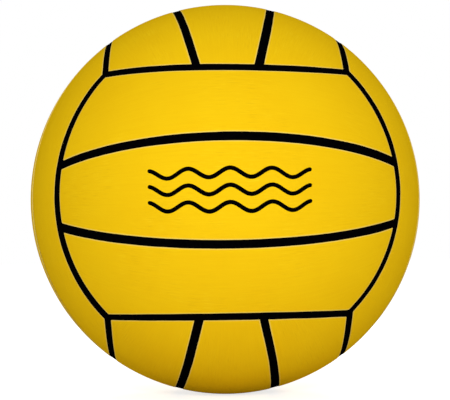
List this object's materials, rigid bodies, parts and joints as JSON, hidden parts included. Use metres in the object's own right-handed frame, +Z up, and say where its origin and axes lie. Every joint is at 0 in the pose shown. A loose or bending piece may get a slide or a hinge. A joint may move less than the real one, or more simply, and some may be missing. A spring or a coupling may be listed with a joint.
{
  "type": "water polo ball",
  "caption": "Inflated rubber ball for play in water: yellow cover strips in groups, black channels between them, a wound carcass, an air bladder and a needle valve.",
  "frame": {"origin": "centre of the ball", "axes": "-Y towards the group of strips that run along X, +Y along the valve, +Z up"},
  "size_m": [0.221, 0.2209, 0.221],
  "materials": {
    "cover_rubber": "matt, finely grained",
    "channel_rubber": "matt black",
    "carcass_rubber": "matt black",
    "winding_nylon": "wound thread",
    "bladder_butyl": "smooth black",
    "valve_rubber": "smooth black",
    "core_rubber": "smooth dark grey"
  },
  "bodies": {
    "root": {"panel_front_upper": "cover_rubber", "panel_front_middle": "cover_rubber", "panel_front_lower": "cover_rubber", "panel_back_upper": "cover_rubber", "panel_back_middle": "cover_rubber", "panel_back_lower": "cover_rubber", "panel_left_front": "cover_rubber", "panel_left_middle": "cover_rubber", "panel_left_back": "cover_rubber", "panel_right_front": "cover_rubber", "panel_right_middle": "cover_rubber", "panel_right_back": "cover_rubber", "panel_top_left": "cover_rubber", "panel_top_middle": "cover_rubber", "panel_top_right": "cover_rubber", "panel_bottom_left": "cover_rubber", "panel_bottom_middle": "cover_rubber", "panel_bottom_right": "cover_rubber", "seam_channels": "channel_rubber", "carcass": "carcass_rubber", "winding": "winding_nylon", "bladder": "bladder_butyl", "valve_patch": "bladder_butyl", "valve_housing": "valve_rubber", "valve_core": "core_rubber"}
  },
  "joints": []
}
